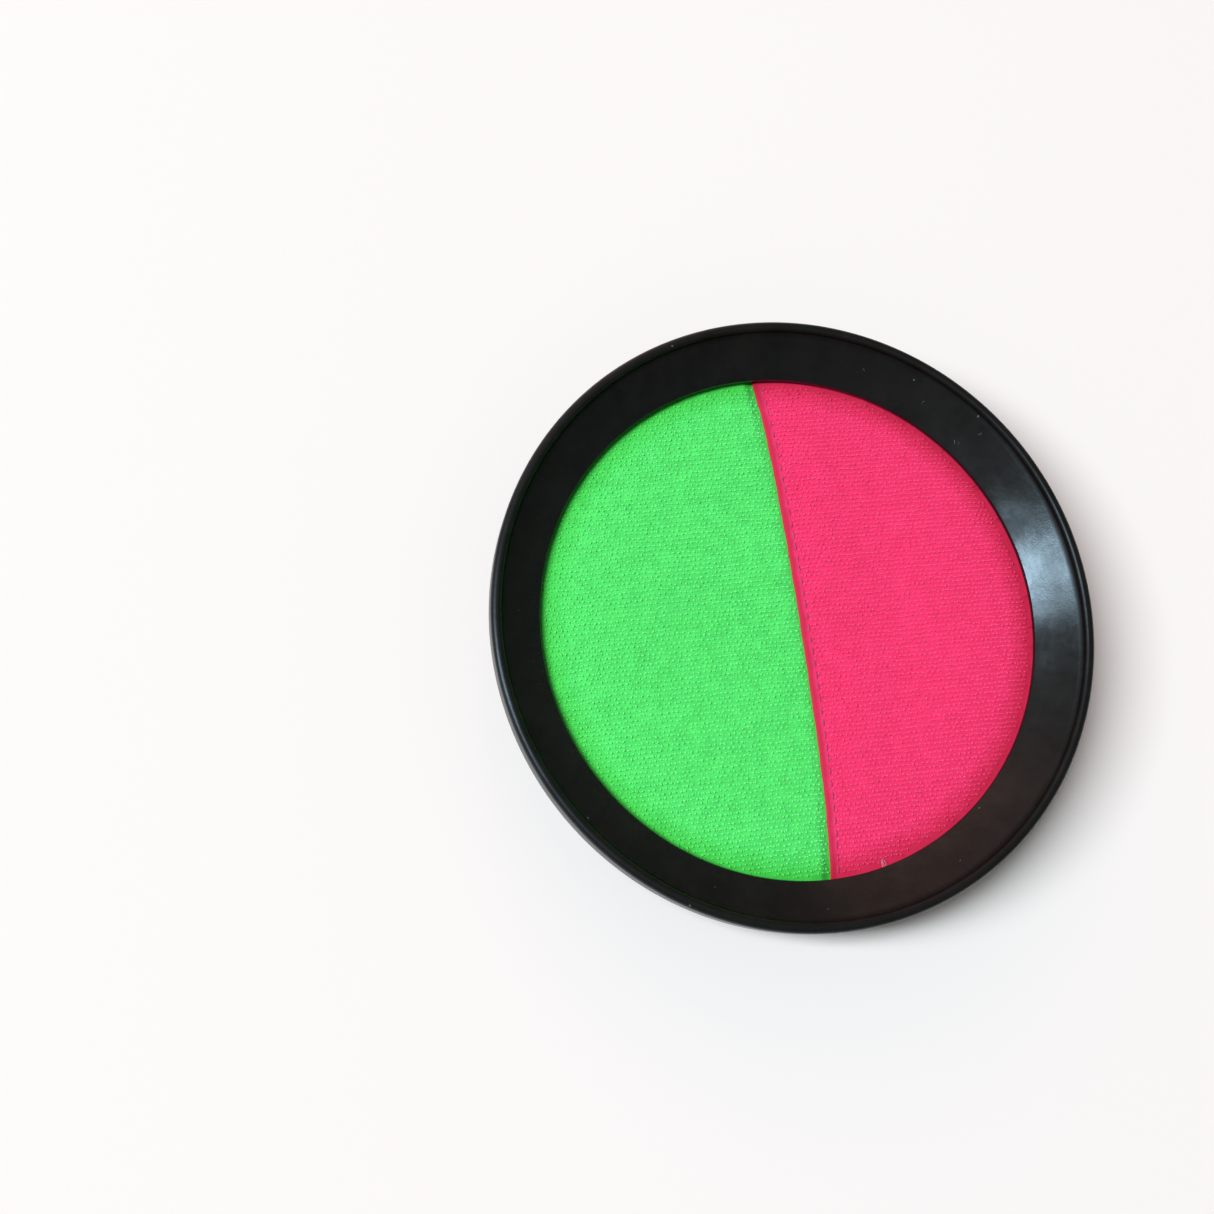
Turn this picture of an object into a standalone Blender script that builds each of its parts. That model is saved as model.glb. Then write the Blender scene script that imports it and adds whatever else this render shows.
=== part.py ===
# Hook and loop catch paddle: a moulded ring holds a padded, two-colour cloth face.
# A hand strap in two halves, closed by tape, crosses its back.
# Metres, +Z up, lying face up on its foot. The origin is on the ring's axis, on the plane it rests on.
# The seam between the two colours runs along Y, and the hand strap along X.

import math

import bmesh
import bpy
from mathutils import Matrix, Vector

# Clearance between pieces that touch on the real paddle
FIT = 0.0003

# Ring outline, from the opening where the cloth shows out to the lip
OPENING_RADIUS = 0.0768
DISH_WIDTH = 0.0157
DISH_RISE = 0.0096
RIM_WALL = 0.0017
LIP_BEAD_WIDTH = 0.0032
LIP_BEAD_HEIGHT = 0.0017
HEM_DEPTH = 0.0076
HEM_DRAFT = 0.0003
NOSE_HEIGHT = 0.0016
NOSE_WIDTH = 0.0028
NOSE_ROUND = 0.0005
POCKET_WIDTH = 0.0077
SKIRT_WALL = 0.0018
SKIRT_LIFT = 0.0008
EDGE_ROUND = 0.0004
ROOT_ROUND = 0.0007
RING_SEGMENTS = 72

# Clamp ring
CLAMP_SETBACK = 0.0004
CLAMP_WALL = 0.0020
CLAMP_FLANGE = 0.0018
CLAMP_CURB_HEIGHT = 0.0036
FOOT_ROUND = 0.0002
RIB_COUNT = 24
RIB_THICKNESS = 0.0012
RIB_SETBACK = 0.0007
LUG_COUNT = 8
LUG_WIDTH = 0.0090
LUG_HEIGHT = 0.0022
LUG_TIP_HEIGHT = 0.0006
LUG_REACH = 0.0015
LUG_LIFT = 0.0030
ROOT_OVERLAP = 0.0003

# Cloth and foam
CLOTH_EDGE_PLAY = 0.0005
FACE_CLOTH = 0.0009
BACKING_CLOTH = 0.0007
FOAM_UNDER_LAP = 0.00065
FACE_CROWN = 0.0022
PILLOW_POWER = 6
PILLOW_FOOT = 1.5
CLOTH_GRID = 0.0056

# Seam between the two halves; distances past the fold run from the pink half's folded edge
SEAM_SHIFT = -0.00045
SEAM_BOW = 0.00115
SEAM_RISE = 0.0010
SEAM_RISE_FADE = 0.0080
FOLD_SLIT = 0.00025
HEM_FLAP = 0.0070
LAP_MARGIN = 0.0006
LAP_DIP_WIDTH = 0.0036
LAP_DIP_END = 0.0005
FOAM_WALL_RUN = 0.0008

# Hand strap
STRAP_WIDTH = 0.0380
WEBBING = 0.0010
STRAP_FLOOR_GAP = 0.0005
HAND_GAP = 0.0055
STRAP_END_PLAY = 0.0018
STRAP_TAB = 0.0190
STRAP_SLOPE_RUN = 0.0240
STRAP_SHORT_REACH = 0.0270
STRAP_LONG_REACH = 0.0310
STRAP_TIP_RADIUS = 0.0080
PATCH_WIDTH = 0.0340
PATCH_TAPE = 0.0007
LOOP_PATCH_LENGTH = 0.0480
LOOP_PATCH_MARGIN = 0.0020
HOOK_PATCH_LENGTH = 0.0370

# Section of the folded hem and of the lap beneath it
FOLD_RADIUS = FACE_CLOTH + FOLD_SLIT / 2
LAP_DROP = 2 * FOLD_RADIUS + FIT
LAP_WIDTH = HEM_FLAP + LAP_MARGIN
DIP_START = -LAP_DIP_END - LAP_DIP_WIDTH
CHANNEL_END = LAP_WIDTH + FIT
SHOULDER = CHANNEL_END + FOAM_WALL_RUN

# Heights, stacked up from the floor through the strap, the cloth sandwich and the rim
STRAP_LONG_Z = STRAP_FLOOR_GAP
HOOK_PATCH_Z = STRAP_LONG_Z + WEBBING + FIT
LOOP_PATCH_Z = HOOK_PATCH_Z + PATCH_TAPE + FIT
STRAP_SHORT_Z = LOOP_PATCH_Z + PATCH_TAPE + FIT
BACKING_Z = STRAP_SHORT_Z + WEBBING + HAND_GAP
STRAP_TAB_Z = BACKING_Z - FIT - WEBBING
CLAMP_TOP_Z = BACKING_Z - FIT
FOAM_Z = BACKING_Z + BACKING_CLOTH + FIT
FOAM_TOP_Z = FOAM_Z + FOAM_UNDER_LAP + LAP_DROP
FACE_Z = FOAM_TOP_Z + FIT + FACE_CLOTH
NOSE_Z = FACE_Z + FIT
OPENING_Z = NOSE_Z + NOSE_HEIGHT
LIP_TOP_Z = OPENING_Z + DISH_RISE

# Radii that follow from the opening
LIP_RADIUS = OPENING_RADIUS + DISH_WIDTH
SKIRT_RADIUS = OPENING_RADIUS + POCKET_WIDTH
CLAMP_RADIUS = SKIRT_RADIUS - FIT
CLAMP_OPENING_RADIUS = OPENING_RADIUS + CLAMP_SETBACK
CLOTH_RADIUS = SKIRT_RADIUS - CLOTH_EDGE_PLAY
CLOTH_REACH = CLOTH_RADIUS + CLOTH_GRID
STRAP_TAB_OUTER = math.sqrt((CLAMP_OPENING_RADIUS - STRAP_END_PLAY) ** 2 - (STRAP_WIDTH / 2) ** 2)
STRAP_TAB_INNER = STRAP_TAB_OUTER - STRAP_TAB
STRAP_LEVEL_REACH = STRAP_TAB_INNER - STRAP_SLOPE_RUN


def clear_scene():
    for item in list(bpy.data.objects):
        bpy.data.objects.remove(item, do_unlink=True)


def material(name, colour, roughness, metallic=0.0):
    made = bpy.data.materials.new(name)
    made.use_nodes = True
    shader = made.node_tree.nodes["Principled BSDF"]
    shader.inputs["Base Color"].default_value = (*colour, 1.0)
    shader.inputs["Roughness"].default_value = roughness
    shader.inputs["Metallic"].default_value = metallic
    return made


def add_object(name, bm, surface=None, smooth_angle=math.radians(35)):
    bmesh.ops.recalc_face_normals(bm, faces=bm.faces)
    mesh = bpy.data.meshes.new(name)
    bm.to_mesh(mesh)
    bm.free()
    mesh.shade_smooth()
    mesh.set_sharp_from_angle(angle=smooth_angle)
    made = bpy.data.objects.new(name, mesh)
    bpy.context.scene.collection.objects.link(made)
    if surface:
        mesh.materials.append(surface)
    return made


def add_cutter(name, bm):
    made = add_object(name, bm)
    made.hide_render = True
    made.display_type = "WIRE"
    return made


def boolean(target, cutter, operation):
    step = target.modifiers.new(operation.lower(), "BOOLEAN")
    step.operation = operation
    step.object = cutter
    step.solver = "EXACT"


def rounded(corners):
    # Corner points (a, b, radius, steps) become a closed outline whose corners are arcs of that radius.
    outline = []
    count = len(corners)
    for i, (a, b, radius, steps) in enumerate(corners):
        here = Vector((a, b))
        before = (Vector(corners[i - 1][:2]) - here).normalized()
        after = (Vector(corners[(i + 1) % count][:2]) - here).normalized()
        if radius <= 0:
            outline.append(here)
            continue
        half_angle = before.angle(after) / 2
        centre = here + (before + after).normalized() * (radius / math.sin(half_angle))
        start = here + before * (radius / math.tan(half_angle)) - centre
        end = here + after * (radius / math.tan(half_angle)) - centre
        turn = start.angle(end)
        for k in range(steps + 1):
            share = k / steps
            arm = (start * math.sin((1 - share) * turn) + end * math.sin(share * turn)) / math.sin(turn)
            outline.append(centre + arm)
    return outline


def turned_ring(outline):
    # The outline (radius, height) is spun once round Z into a closed ring.
    bm = bmesh.new()
    points = [bm.verts.new((p.x, 0, p.y)) for p in outline]
    edges = [bm.edges.new((points[i - 1], points[i])) for i in range(len(points))]
    bmesh.ops.spin(bm, geom=points + edges, cent=(0, 0, 0), axis=(0, 0, 1), angle=2 * math.pi,
                   steps=RING_SEGMENTS, use_merge=True)
    return bm


def add_prism(bm, outline, width, angle):
    # The outline (radius, height) stands on the radial line at this angle and is width thick across it.
    turn = Matrix.Rotation(angle, 4, "Z")
    near = [bm.verts.new(turn @ Vector((p[0], -width / 2, p[1]))) for p in outline]
    face = bm.faces.new(near)
    swept = bmesh.ops.extrude_face_region(bm, geom=[face])
    far = [v for v in swept["geom"] if isinstance(v, bmesh.types.BMVert)]
    bmesh.ops.translate(bm, verts=far, vec=turn @ Vector((0, width, 0)))


def prisms_round_axis(outline, width, count):
    bm = bmesh.new()
    for k in range(count):
        add_prism(bm, outline, width, 2 * math.pi * k / count)
    return bm


def front_rim(surface):
    bead_inner = LIP_RADIUS - LIP_BEAD_WIDTH
    cone_top = LIP_TOP_Z - LIP_BEAD_HEIGHT
    slope = (cone_top - OPENING_Z) / (bead_inner - OPENING_RADIUS)
    wall_drop = RIM_WALL * math.sqrt(1 + slope * slope)

    def underside(radius):
        return OPENING_Z + (radius - OPENING_RADIUS) * slope - wall_drop

    hem_z = LIP_TOP_Z - HEM_DEPTH
    hem_outer = LIP_RADIUS - HEM_DRAFT
    hem_inner = hem_outer - RIM_WALL
    skirt_outer = SKIRT_RADIUS + SKIRT_WALL
    nose_outer = OPENING_RADIUS + NOSE_WIDTH
    bead_round = LIP_BEAD_WIDTH / 2
    outline = rounded([
        (OPENING_RADIUS, NOSE_Z, EDGE_ROUND, 1),
        (OPENING_RADIUS, OPENING_Z, NOSE_ROUND, 2),
        (bead_inner, cone_top, 0.0, 0),
        (bead_inner, LIP_TOP_Z, min(bead_round, LIP_BEAD_HEIGHT) - EDGE_ROUND / 2, 3),
        (LIP_RADIUS, LIP_TOP_Z, bead_round, 3),
        (hem_outer, hem_z, EDGE_ROUND, 1),
        (hem_inner, hem_z, EDGE_ROUND, 1),
        (hem_inner, underside(hem_inner), ROOT_ROUND, 1),
        (skirt_outer, underside(skirt_outer), ROOT_ROUND, 1),
        (skirt_outer, SKIRT_LIFT, EDGE_ROUND, 1),
        (SKIRT_RADIUS, SKIRT_LIFT, EDGE_ROUND, 1),
        (SKIRT_RADIUS, underside(SKIRT_RADIUS), 0.0, 0),
        (nose_outer, underside(nose_outer), 0.0, 0),
        (nose_outer, NOSE_Z, EDGE_ROUND, 1),
    ])
    rim = add_object("front_rim", turned_ring(outline), surface)
    low = LUG_LIFT - FIT
    high = LUG_LIFT + LUG_HEIGHT + FIT
    window = [
        (SKIRT_RADIUS - SKIRT_WALL, low),
        (skirt_outer + SKIRT_WALL, low),
        (skirt_outer + SKIRT_WALL, high),
        (SKIRT_RADIUS - SKIRT_WALL, high),
    ]
    windows = add_cutter("lug_window_cutter", prisms_round_axis(window, LUG_WIDTH + 2 * FIT, LUG_COUNT))
    boolean(rim, windows, "DIFFERENCE")
    return rim


def clamp_ring(surface):
    wall_inner = CLAMP_RADIUS - CLAMP_WALL
    curb_outer = CLAMP_OPENING_RADIUS + CLAMP_FLANGE
    flange_z = CLAMP_TOP_Z - CLAMP_FLANGE
    curb_z = CLAMP_TOP_Z - CLAMP_CURB_HEIGHT
    outline = rounded([
        (CLAMP_OPENING_RADIUS, CLAMP_TOP_Z, EDGE_ROUND, 1),
        (CLAMP_RADIUS, CLAMP_TOP_Z, EDGE_ROUND, 1),
        (CLAMP_RADIUS, 0.0, FOOT_ROUND, 1),
        (wall_inner, 0.0, FOOT_ROUND, 1),
        (wall_inner, flange_z, EDGE_ROUND, 1),
        (curb_outer, flange_z, EDGE_ROUND, 1),
        (curb_outer, curb_z, EDGE_ROUND, 1),
        (CLAMP_OPENING_RADIUS, curb_z, EDGE_ROUND, 1),
    ])
    ring = add_object("clamp_ring", turned_ring(outline), surface)
    rib_z = curb_z + RIB_SETBACK
    rib = [
        (curb_outer - ROOT_OVERLAP, rib_z),
        (wall_inner + ROOT_OVERLAP, rib_z),
        (wall_inner + ROOT_OVERLAP, flange_z + ROOT_OVERLAP),
        (curb_outer - ROOT_OVERLAP, flange_z + ROOT_OVERLAP),
    ]
    ribs = add_cutter("rib_union", prisms_round_axis(rib, RIB_THICKNESS, RIB_COUNT))
    boolean(ring, ribs, "UNION")
    # A lug is a wedge: flat below, where it bears on its window, and sloped above to snap in.
    root = CLAMP_RADIUS - 3 * ROOT_OVERLAP
    lug = [
        (root, LUG_LIFT),
        (CLAMP_RADIUS + LUG_REACH, LUG_LIFT),
        (CLAMP_RADIUS + LUG_REACH, LUG_LIFT + LUG_TIP_HEIGHT),
        (CLAMP_RADIUS - ROOT_OVERLAP, LUG_LIFT + LUG_HEIGHT),
        (root, LUG_LIFT + LUG_HEIGHT),
    ]
    lugs = add_cutter("lug_union", prisms_round_axis(lug, LUG_WIDTH, LUG_COUNT))
    boolean(ring, lugs, "UNION")
    return ring


def ease(share):
    # 0 to 1 with a level start and end
    held = min(max(share, 0.0), 1.0)
    return held * held * (3 - 2 * held)


def seam_x(y):
    # The seam bows towards the pink half, most at the middle of the face.
    return SEAM_SHIFT + SEAM_BOW * (1 - (y / OPENING_RADIUS) ** 2)


def pillow(x, y):
    # Share of the crown that the trapped face has kept: 1 in the middle and 0 under the rim's nose
    share = min(math.hypot(x, y) / OPENING_RADIUS, 1.0)
    return (1 - share ** PILLOW_POWER) ** PILLOW_FOOT


def face_lift(x, y):
    past_fold = x - seam_x(y)
    up = ease((past_fold - DIP_START) / LAP_DIP_WIDTH)
    down = ease((past_fold - SHOULDER) / SEAM_RISE_FADE)
    return (FACE_CROWN + SEAM_RISE * (up - down)) * pillow(x, y)


def lap_drop(past_fold):
    # How far the green half dips to pass under the pink hem
    return LAP_DROP * ease((past_fold - DIP_START) / LAP_DIP_WIDTH)


def spaced(start, end):
    count = max(1, round(abs(end - start) / CLOTH_GRID))
    return [start + (end - start) * k / count for k in range(count + 1)]


def green_stations():
    dip_steps = 4
    dip = [DIP_START + LAP_DIP_WIDTH * k / dip_steps for k in range(1, dip_steps + 1)]
    return spaced(-CLOTH_REACH, DIP_START) + dip


def swept_layer(outline):
    # The outline (distance past the fold, height) follows the bowed seam from end to end of the disc.
    bm = bmesh.new()
    sections = []
    for y in spaced(-CLOTH_REACH, CLOTH_REACH):
        sections.append([bm.verts.new((seam_x(y) + s, y, z)) for s, z in outline])
    for one, two in zip(sections, sections[1:]):
        for i in range(len(outline)):
            bm.faces.new((one[i - 1], one[i], two[i], two[i - 1]))
    bm.faces.new(sections[0])
    bm.faces.new(sections[-1])
    return bm


def cloth_disc(thickness):
    bm = bmesh.new()
    bmesh.ops.create_cone(bm, cap_ends=True, segments=RING_SEGMENTS, radius1=CLOTH_RADIUS,
                          radius2=CLOTH_RADIUS, depth=thickness)
    return bm


def trapped_layer(name, outline, surface, fixed_below=-1.0):
    # Cut the swept layer to the round blank, then lift what lies above fixed_below to the domed face.
    flat = add_cutter(name + "_flat", swept_layer(outline))
    blank = add_cutter(name + "_blank", cloth_disc(4 * LIP_TOP_Z))
    boolean(flat, blank, "INTERSECT")
    bpy.context.view_layer.update()
    graph = bpy.context.evaluated_depsgraph_get()
    bm = bmesh.new()
    bm.from_mesh(flat.evaluated_get(graph).to_mesh())
    flat.evaluated_get(graph).to_mesh_clear()
    for vertex in bm.verts:
        if vertex.co.z > fixed_below:
            vertex.co.z += face_lift(vertex.co.x, vertex.co.y)
    for helper in (flat, blank):
        bpy.data.objects.remove(helper, do_unlink=True)
    return add_object(name, bm, surface)


def green_face(surface):
    top = [(s, FACE_Z - lap_drop(s)) for s in green_stations() + [LAP_WIDTH]]
    under = [(s, z - FACE_CLOTH) for s, z in reversed(top)]
    return trapped_layer("green_face", top + under, surface)


def pink_face(surface):
    run = spaced(FOLD_RADIUS, SHOULDER) + spaced(SHOULDER, CLOTH_REACH)[1:]
    top = [(s, FACE_Z) for s in run]
    under = [(s, FACE_Z - FACE_CLOTH) for s in reversed(run)]
    flap_z = FACE_Z - 2 * FOLD_RADIUS
    slit_end = (FOLD_RADIUS - FOLD_SLIT / 2, FACE_Z - FOLD_RADIUS)
    flap = [
        (FOLD_RADIUS, flap_z + FACE_CLOTH),
        (HEM_FLAP, flap_z + FACE_CLOTH),
        (HEM_FLAP, flap_z),
        (FOLD_RADIUS, flap_z),
    ]
    fold_steps = 5
    fold = []
    for k in range(1, fold_steps):
        angle = -math.pi / 2 - math.pi * k / fold_steps
        fold.append((FOLD_RADIUS * (1 + math.cos(angle)), FACE_Z + FOLD_RADIUS * (math.sin(angle) - 1)))
    return trapped_layer("pink_face", top + under + [slit_end] + flap + fold, surface)


def foam_pad(surface):
    # The pad is dented along the seam, where the lap and the hem press into it.
    left = [(s, FOAM_TOP_Z - lap_drop(s)) for s in green_stations() + [CHANNEL_END]]
    right = [(s, FOAM_TOP_Z) for s in spaced(SHOULDER, CLOTH_REACH)]
    base = [(CLOTH_REACH, FOAM_Z), (-CLOTH_REACH, FOAM_Z)]
    return trapped_layer("foam_pad", left + right + base, surface, FOAM_Z + FIT)


def backing_cloth(surface):
    bm = cloth_disc(BACKING_CLOTH)
    bmesh.ops.translate(bm, verts=bm.verts, vec=(0, 0, BACKING_Z + BACKING_CLOTH / 2))
    return add_object("backing_cloth", bm, surface)


def strap_route(side, level_z, reach):
    # Middle line of one strap half: level at its sewn tab, eased down to level_z, then level to its free end.
    slope_steps = 10
    tip_steps = 5
    route = [(STRAP_TAB_OUTER, STRAP_TAB_Z)]
    for k in range(slope_steps + 1):
        share = k / slope_steps
        z = STRAP_TAB_Z + (level_z - STRAP_TAB_Z) * ease(share)
        route.append((STRAP_TAB_INNER - STRAP_SLOPE_RUN * share, z))
    for k in range(tip_steps + 1):
        turn = math.pi / 2 * k / tip_steps
        route.append((STRAP_TIP_RADIUS * (1 - math.sin(turn)) - reach, level_z))
    return [Vector((side * x, 0, z + WEBBING / 2)) for x, z in route]


def half_width_at(from_end, tip_radius):
    # A rounded free end has both its corners rounded in plan.
    if from_end >= tip_radius:
        return STRAP_WIDTH / 2
    inside = tip_radius - from_end
    return STRAP_WIDTH / 2 - tip_radius + math.sqrt(max(tip_radius * tip_radius - inside * inside, 0.0))


def strap_half(name, side, level_z, reach, tip_radius, surface):
    route = strap_route(side, level_z, reach)
    bm = bmesh.new()
    sections = []
    for i, point in enumerate(route):
        along = (route[min(i + 1, len(route) - 1)] - route[max(i - 1, 0)]).normalized()
        out = Vector((-along.z, 0, along.x)) * (WEBBING / 2)
        across = Vector((0, half_width_at(side * point.x + reach, tip_radius), 0))
        sections.append([bm.verts.new(p) for p in (
            point + out - across, point + out + across, point - out + across, point - out - across)])
    for one, two in zip(sections, sections[1:]):
        for i in range(4):
            bm.faces.new((one[i - 1], one[i], two[i], two[i - 1]))
    bm.faces.new(sections[0])
    bm.faces.new(sections[-1])
    return add_object(name, bm, surface)


def strap_patch(name, start_x, end_x, low_z, surface):
    bm = bmesh.new()
    bmesh.ops.create_cube(bm, size=1.0)
    bmesh.ops.scale(bm, verts=bm.verts, vec=(end_x - start_x, PATCH_WIDTH, PATCH_TAPE))
    bmesh.ops.translate(bm, verts=bm.verts, vec=((start_x + end_x) / 2, 0, low_z + PATCH_TAPE / 2))
    return add_object(name, bm, surface)


def main():
    clear_scene()
    black_plastic = material("black_plastic", (0.012, 0.012, 0.012), 0.38)
    green_hook = material("green_hook_cloth", (0.08, 0.77, 0.13), 0.85)
    pink_hook = material("pink_hook_cloth", (0.91, 0.033, 0.147), 0.85)
    foam = material("white_foam", (0.80, 0.80, 0.78), 0.9)
    black_cloth = material("black_cloth", (0.02, 0.02, 0.021), 0.8)
    webbing = material("black_webbing", (0.016, 0.016, 0.017), 0.7)
    closure = material("closure_tape", (0.025, 0.025, 0.026), 0.9)
    front_rim(black_plastic)
    clamp_ring(black_plastic)
    green_face(green_hook)
    pink_face(pink_hook)
    foam_pad(foam)
    backing_cloth(black_cloth)
    strap_half("strap_short", -1, STRAP_SHORT_Z, STRAP_SHORT_REACH, 0.0, webbing)
    strap_half("strap_long", 1, STRAP_LONG_Z, STRAP_LONG_REACH, STRAP_TIP_RADIUS, webbing)
    loop_end = STRAP_SHORT_REACH - LOOP_PATCH_MARGIN
    strap_patch("strap_loop_patch", loop_end - LOOP_PATCH_LENGTH, loop_end, LOOP_PATCH_Z, closure)
    hook_start = STRAP_TIP_RADIUS - STRAP_LONG_REACH
    strap_patch("strap_hook_patch", hook_start, hook_start + HOOK_PATCH_LENGTH, HOOK_PATCH_Z, closure)


main()
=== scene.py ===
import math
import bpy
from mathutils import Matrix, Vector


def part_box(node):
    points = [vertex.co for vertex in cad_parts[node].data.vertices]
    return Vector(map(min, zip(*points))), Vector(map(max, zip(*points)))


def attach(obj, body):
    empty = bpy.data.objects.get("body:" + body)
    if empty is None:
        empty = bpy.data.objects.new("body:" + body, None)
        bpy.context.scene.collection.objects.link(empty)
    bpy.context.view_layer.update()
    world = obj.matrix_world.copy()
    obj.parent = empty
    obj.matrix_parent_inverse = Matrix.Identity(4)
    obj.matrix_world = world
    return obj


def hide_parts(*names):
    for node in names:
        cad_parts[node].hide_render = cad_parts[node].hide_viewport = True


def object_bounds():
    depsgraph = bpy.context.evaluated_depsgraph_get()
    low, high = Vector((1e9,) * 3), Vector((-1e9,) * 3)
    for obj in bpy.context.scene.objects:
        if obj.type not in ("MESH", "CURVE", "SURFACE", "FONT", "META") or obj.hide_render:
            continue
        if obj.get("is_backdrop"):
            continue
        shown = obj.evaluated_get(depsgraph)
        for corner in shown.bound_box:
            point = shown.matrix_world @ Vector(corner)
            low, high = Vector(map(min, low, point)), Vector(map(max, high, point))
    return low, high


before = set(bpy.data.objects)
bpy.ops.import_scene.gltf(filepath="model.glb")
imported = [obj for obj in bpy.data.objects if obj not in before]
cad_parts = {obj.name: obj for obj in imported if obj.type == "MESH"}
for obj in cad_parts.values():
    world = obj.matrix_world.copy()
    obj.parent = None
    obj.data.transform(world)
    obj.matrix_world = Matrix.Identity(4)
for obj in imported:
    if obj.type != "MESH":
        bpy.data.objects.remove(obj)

# Looks of the catch paddle. Shapes are worked out in millimetres and become metres in addMesh.

from types import SimpleNamespace

import bmesh
import bpy
import numpy as np
from mathutils import Matrix, Vector

mm = 0.001
cadBox = [list(corner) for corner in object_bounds()]
print("frame loaded")


# Mesh helpers

def addMesh(name, parts, finish, replaced=None, sharpDegrees=180, uv=None, values=None):
    # A part is its points in millimetres and its face sets, each an array with a row of corners for every face.
    points = np.concatenate([p.reshape(-1, 3) for p, faces in parts])
    starts = np.cumsum([0] + [p.size // 3 for p, faces in parts])
    faceSets = [f + start for (p, faces), start in zip(parts, starts) for f in faces]
    corners = np.concatenate([f.ravel() for f in faceSets])
    counts = np.concatenate([np.full(len(f), f.shape[1]) for f in faceSets])
    mesh = bpy.data.meshes.new(name)
    mesh.vertices.add(len(points))
    mesh.vertices.foreach_set("co", (points * mm).ravel())
    mesh.loops.add(len(corners))
    mesh.loops.foreach_set("vertex_index", corners)
    mesh.polygons.add(len(counts))
    mesh.polygons.foreach_set("loop_start", np.cumsum(counts) - counts)
    mesh.polygons.foreach_set("loop_total", counts)
    mesh.update(calc_edges=True)
    if uv is not None:
        mesh.uv_layers.new(name="UVMap").data.foreach_set("uv", uv.reshape(-1, 2)[corners].ravel())
    for label, array in (values or {}).items():
        mesh.attributes.new(label, "FLOAT", "POINT").data.foreach_set("value", array.ravel())
    outward = bmesh.new()  # every piece is closed, so its faces can all be turned outward
    outward.from_mesh(mesh)
    bmesh.ops.recalc_face_normals(outward, faces=outward.faces)
    outward.to_mesh(mesh)
    outward.free()
    mesh.shade_smooth()
    mesh.set_sharp_from_angle(angle=math.radians(sharpDegrees))
    mesh.materials.append(finish)
    piece = bpy.data.objects.new(name, mesh)
    bpy.context.scene.collection.objects.link(piece)
    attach(piece, "root")
    if replaced:
        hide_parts(replaced)
    return piece


def place(x, y, z):
    # One array of points from arrays or numbers that broadcast together
    return np.stack(np.broadcast_arrays(x, y, z), -1)


def boxOf(node):
    # Low and high corner of a CAD node's box, in millimetres
    return [np.array(corner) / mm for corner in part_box(node)]


def gridFaces(rows, columns, ringRows=False, ringColumns=False):
    # Quads between neighbouring rows and columns of points; a ring also joins its last to its first.
    i, j = np.meshgrid(np.arange(rows - (not ringRows)), np.arange(columns - (not ringColumns)), indexing="ij")
    down, across = (i + 1) % rows, (j + 1) % columns
    quads = [i * columns + j, down * columns + j, down * columns + across, i * columns + across]
    return np.stack(quads, -1).reshape(-1, 4)


def tubeFaces(rows, columns):
    # The wall of a tube of points, and one face at each end
    ends = np.stack([np.arange(columns), np.arange(columns)[::-1] + (rows - 1) * columns])
    return [gridFaces(rows, columns, ringColumns=True), ends]


def slab(top, bottom):
    # Two grids of points, one above the other, closed by a strip round their shared edge
    rows, columns = top.shape[:2]
    size = rows * columns
    index = np.arange(size).reshape(rows, columns)
    edge = np.concatenate([index[0, :-1], index[:-1, -1], index[-1, :0:-1], index[:0:-1, 0]])
    after = np.roll(edge, -1)
    faces = gridFaces(rows, columns)
    strip = np.stack([edge, after, after + size, edge + size], -1)
    points = np.concatenate([top.reshape(-1, 3), bottom.reshape(-1, 3)])
    return points, [np.concatenate([faces, faces[:, ::-1] + size, strip])]


def tubes(paths, radius, sides, reference):
    # A round section carried along each path: centre + radius * (side * cos + over * sin), with both ends capped
    count, stations = paths.shape[:2]
    along = np.gradient(paths, axis=1)
    along /= np.linalg.norm(along, axis=-1, keepdims=True)
    side = np.cross(along, np.broadcast_to(np.reshape(reference, (-1, 1, 3)), along.shape))
    side /= np.linalg.norm(side, axis=-1, keepdims=True)
    over = np.cross(side, along)
    turn = (np.arange(sides) + 0.5) * 2 * np.pi / sides
    ring = side[:, :, None] * np.cos(turn)[:, None] + over[:, :, None] * np.sin(turn)[:, None]
    points = paths[:, :, None] + ring * np.broadcast_to(radius, (count, stations))[:, :, None, None]
    starts = np.arange(count)[:, None] * stations * sides
    walls = (starts[:, :, None] + gridFaces(stations, sides, ringColumns=True)).reshape(-1, 4)
    near = starts + np.arange(sides)
    return points.reshape(-1, 3), [walls, near, near[:, ::-1] + (stations - 1) * sides]


def roundedOutline(corners):
    # Corners (a, b, radius, steps) become an outline with an arc at each corner.
    outline = []
    for i, (a, b, radius, steps) in enumerate(corners):
        here = np.array([a, b])
        if radius <= 0:
            outline.append(here[None])
            continue
        before = np.array(corners[i - 1][:2]) - here
        after = np.array(corners[(i + 1) % len(corners)][:2]) - here
        before, after = before / np.hypot(*before), after / np.hypot(*after)
        half = math.acos(np.clip(before @ after, -1, 1)) / 2
        middle = (before + after) / np.hypot(*(before + after))
        centre = here + middle * radius / math.sin(half)
        start = (here + before * radius / math.tan(half) - centre) / radius
        end = (here + after * radius / math.tan(half) - centre) / radius
        turn = math.acos(np.clip(start @ end, -1, 1))
        share = np.linspace(0, 1, steps + 1)[:, None]
        arc = start * np.sin((1 - share) * turn) + end * np.sin(share * turn)
        outline.append(centre + radius * arc / math.sin(turn))
    return np.concatenate(outline)


def lathe(outline, angles):
    # The outline (radius r, height z) at each angle t: x = r cos t, y = r sin t
    radius, height = outline.T
    return place(np.outer(np.cos(angles), radius), np.outer(np.sin(angles), radius), height)


def smooth(share):
    # 0 to 1 with a level start and end
    held = np.clip(share, 0, 1)
    return held * held * (3 - 2 * held)


# Node helpers: a new node joins the tree of the first socket among its inputs.

def feed(socket, value):
    if isinstance(value, bpy.types.NodeSocket):
        socket.id_data.links.new(value, socket)
    else:
        socket.default_value = (*value, 1.0) if socket.type == "RGBA" else value


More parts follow.
